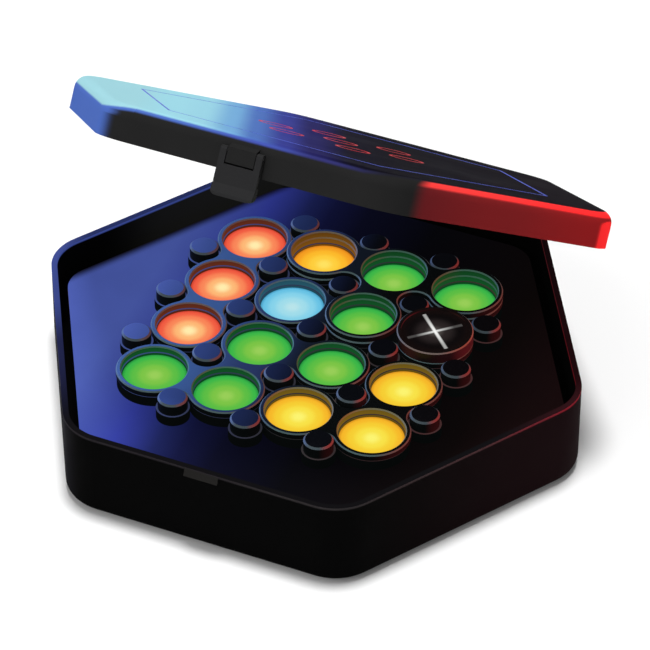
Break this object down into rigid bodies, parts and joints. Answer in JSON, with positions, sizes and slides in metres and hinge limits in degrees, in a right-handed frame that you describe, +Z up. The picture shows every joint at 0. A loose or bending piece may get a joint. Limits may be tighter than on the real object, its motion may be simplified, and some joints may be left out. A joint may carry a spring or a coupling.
{
  "type": "light-up tile game case",
  "caption": "Hexagonal carry case with a hinged lid and clasp; its deck holds lit round push keys between guide posts, lift-off ring tiles and a cap with a glowing cross.",
  "frame": {"origin": "middle of the case on its flat underside", "axes": "+X along the clasp edge to the right, +Y from the clasp towards the hinge, +Z up"},
  "size_m": [0.292, 0.272, 0.2088],
  "materials": {
    "case_plastic": "fine matt grain, black",
    "deck_plastic": "fine matt grain, black",
    "post_plastic": "satin, black",
    "tile_plastic": "satin, black",
    "key_red": "clear diffusing, lit red",
    "key_orange": "clear diffusing, lit orange",
    "key_yellow": "clear diffusing, lit yellow",
    "key_green": "clear diffusing, lit green",
    "key_blue": "clear diffusing, lit pale blue",
    "key_white": "clear diffusing, lit white",
    "cross_white": "clear diffusing, lit white",
    "mat_rubber": "smooth silicone",
    "board_green": "lacquered",
    "lamp_white": "moulded",
    "chip_black": "moulded",
    "screw_steel": "zinc plated",
    "pin_steel": "drawn wire",
    "cell_jacket": "shrink sleeve",
    "contact_metal": "nickel plated",
    "lead_red": "soft sleeve",
    "lead_black": "soft sleeve",
    "switch_plastic": "moulded"
  },
  "bodies": {
    "base": {"base_tub": "case_plastic", "play_deck": "deck_plastic", "guide_posts": "post_plastic", "key_mat": "mat_rubber", "lamp_board": "board_green", "lamps": "lamp_white", "control_chip": "chip_black", "lamp_driver": "chip_black", "deck_screws": "screw_steel", "board_screws": "screw_steel", "battery_cell_1": "cell_jacket", "battery_cell_2": "cell_jacket", "battery_cell_3": "cell_jacket", "contact_plates": "contact_metal", "contact_springs": "contact_metal", "battery_leads": "lead_red", "power_switch_body": "switch_plastic", "switch_leads": "lead_black"},
    "lid": {"lid_shell": "case_plastic", "hinge_pin_left": "pin_steel", "hinge_pin_right": "pin_steel", "clasp_pin": "pin_steel"},
    "clasp": {"clasp": "case_plastic"},
    "key_r1c1": {"light_key_r1c1": "key_red"},
    "key_r1c2": {"light_key_r1c2": "key_orange"},
    "key_r1c3": {"light_key_r1c3": "key_green"},
    "key_r1c4": {"light_key_r1c4": "key_green"},
    "key_r2c1": {"light_key_r2c1": "key_red"},
    "key_r2c2": {"light_key_r2c2": "key_blue"},
    "key_r2c3": {"light_key_r2c3": "key_green"},
    "key_r2c4": {"light_key_r2c4": "key_white"},
    "key_r3c1": {"light_key_r3c1": "key_red"},
    "key_r3c2": {"light_key_r3c2": "key_green"},
    "key_r3c3": {"light_key_r3c3": "key_green"},
    "key_r3c4": {"light_key_r3c4": "key_yellow"},
    "key_r4c1": {"light_key_r4c1": "key_green"},
    "key_r4c2": {"light_key_r4c2": "key_green"},
    "key_r4c3": {"light_key_r4c3": "key_yellow"},
    "key_r4c4": {"light_key_r4c4": "key_yellow"},
    "switch_knob": {"power_switch_knob": "switch_plastic"},
    "battery_hatch": {"battery_door": "case_plastic", "door_screws": "screw_steel"},
    "tile_line_left": {"tile_line_left": "tile_plastic"},
    "tile_line_middle": {"tile_line_middle": "tile_plastic"},
    "tile_line_back": {"tile_line_back": "tile_plastic"},
    "tile_step": {"tile_step": "tile_plastic"},
    "tile_corner": {"tile_corner": "tile_plastic"},
    "tile_tee": {"tile_tee": "tile_plastic"},
    "cross_cap": {"cross_cap": "tile_plastic", "cross_lens": "cross_white"}
  },
  "joints": [
    {"name": "lid_hinge", "type": "hinge", "parent": "base", "child": "lid", "pos_m": [0, 0.13546, 0.0453], "axis": [-1, 0, 0], "range_deg": [-34, 76]},
    {"name": "clasp_hinge", "type": "hinge", "parent": "lid", "child": "clasp", "pos_m": [0, -0.07914, 0.20573], "axis": [-1, 0, 0], "range_deg": [0, 95]},
    {"name": "press_r1c1", "type": "slide", "parent": "base", "child": "key_r1c1", "axis": [0, 0, -1], "range_m": [0, 0.0012], "stiffness_N_per_m": 400, "springref_m": -0.001, "deforming": ["key_mat"]},
    {"name": "press_r1c2", "type": "slide", "parent": "base", "child": "key_r1c2", "axis": [0, 0, -1], "range_m": [0, 0.0012], "stiffness_N_per_m": 400, "springref_m": -0.001, "deforming": ["key_mat"]},
    {"name": "press_r1c3", "type": "slide", "parent": "base", "child": "key_r1c3", "axis": [0, 0, -1], "range_m": [0, 0.0012], "stiffness_N_per_m": 400, "springref_m": -0.001, "deforming": ["key_mat"]},
    {"name": "press_r1c4", "type": "slide", "parent": "base", "child": "key_r1c4", "axis": [0, 0, -1], "range_m": [0, 0.0012], "stiffness_N_per_m": 400, "springref_m": -0.001, "deforming": ["key_mat"]},
    {"name": "press_r2c1", "type": "slide", "parent": "base", "child": "key_r2c1", "axis": [0, 0, -1], "range_m": [0, 0.0012], "stiffness_N_per_m": 400, "springref_m": -0.001, "deforming": ["key_mat"]},
    {"name": "press_r2c2", "type": "slide", "parent": "base", "child": "key_r2c2", "axis": [0, 0, -1], "range_m": [0, 0.0012], "stiffness_N_per_m": 400, "springref_m": -0.001, "deforming": ["key_mat"]},
    {"name": "press_r2c3", "type": "slide", "parent": "base", "child": "key_r2c3", "axis": [0, 0, -1], "range_m": [0, 0.0012], "stiffness_N_per_m": 400, "springref_m": -0.001, "deforming": ["key_mat"]},
    {"name": "press_r2c4", "type": "slide", "parent": "base", "child": "key_r2c4", "axis": [0, 0, -1], "range_m": [0, 0.0012], "stiffness_N_per_m": 400, "springref_m": -0.001, "deforming": ["key_mat"]},
    {"name": "press_r3c1", "type": "slide", "parent": "base", "child": "key_r3c1", "axis": [0, 0, -1], "range_m": [0, 0.0012], "stiffness_N_per_m": 400, "springref_m": -0.001, "deforming": ["key_mat"]},
    {"name": "press_r3c2", "type": "slide", "parent": "base", "child": "key_r3c2", "axis": [0, 0, -1], "range_m": [0, 0.0012], "stiffness_N_per_m": 400, "springref_m": -0.001, "deforming": ["key_mat"]},
    {"name": "press_r3c3", "type": "slide", "parent": "base", "child": "key_r3c3", "axis": [0, 0, -1], "range_m": [0, 0.0012], "stiffness_N_per_m": 400, "springref_m": -0.001, "deforming": ["key_mat"]},
    {"name": "press_r3c4", "type": "slide", "parent": "base", "child": "key_r3c4", "axis": [0, 0, -1], "range_m": [0, 0.0012], "stiffness_N_per_m": 400, "springref_m": -0.001, "deforming": ["key_mat"]},
    {"name": "press_r4c1", "type": "slide", "parent": "base", "child": "key_r4c1", "axis": [0, 0, -1], "range_m": [0, 0.0012], "stiffness_N_per_m": 400, "springref_m": -0.001, "deforming": ["key_mat"]},
    {"name": "press_r4c2", "type": "slide", "parent": "base", "child": "key_r4c2", "axis": [0, 0, -1], "range_m": [0, 0.0012], "stiffness_N_per_m": 400, "springref_m": -0.001, "deforming": ["key_mat"]},
    {"name": "press_r4c3", "type": "slide", "parent": "base", "child": "key_r4c3", "axis": [0, 0, -1], "range_m": [0, 0.0012], "stiffness_N_per_m": 400, "springref_m": -0.001, "deforming": ["key_mat"]},
    {"name": "press_r4c4", "type": "slide", "parent": "base", "child": "key_r4c4", "axis": [0, 0, -1], "range_m": [0, 0.0012], "stiffness_N_per_m": 400, "springref_m": -0.001, "deforming": ["key_mat"]},
    {"name": "switch_slide", "type": "slide", "parent": "base", "child": "switch_knob", "axis": [1, 0, 0], "range_m": [0, 0.004]},
    {"name": "hatch_drop", "type": "slide", "parent": "base", "child": "battery_hatch", "axis": [0, 0, -1], "range_m": [0, 0.03]},
    {"name": "lift_tile_line_left", "type": "slide", "parent": "base", "child": "tile_line_left", "axis": [0, 0, 1], "range_m": [0, 0.025]},
    {"name": "lift_tile_step", "type": "slide", "parent": "base", "child": "tile_step", "axis": [0, 0, 1], "range_m": [0, 0.025]},
    {"name": "lift_tile_corner", "type": "slide", "parent": "base", "child": "tile_corner", "axis": [0, 0, 1], "range_m": [0, 0.025]},
    {"name": "lift_tile_line_middle", "type": "slide", "parent": "base", "child": "tile_line_middle", "axis": [0, 0, 1], "range_m": [0, 0.025]},
    {"name": "lift_tile_line_back", "type": "slide", "parent": "tile_line_middle", "child": "tile_line_back", "axis": [0, 0, 1], "range_m": [0, 0.025]},
    {"name": "lift_tile_tee", "type": "slide", "parent": "tile_line_back", "child": "tile_tee", "axis": [0, 0, 1], "range_m": [0, 0.025]},
    {"name": "lift_cross_cap", "type": "slide", "parent": "tile_line_middle", "child": "cross_cap", "axis": [0, 0, 1], "range_m": [0, 0.025]}
  ]
}
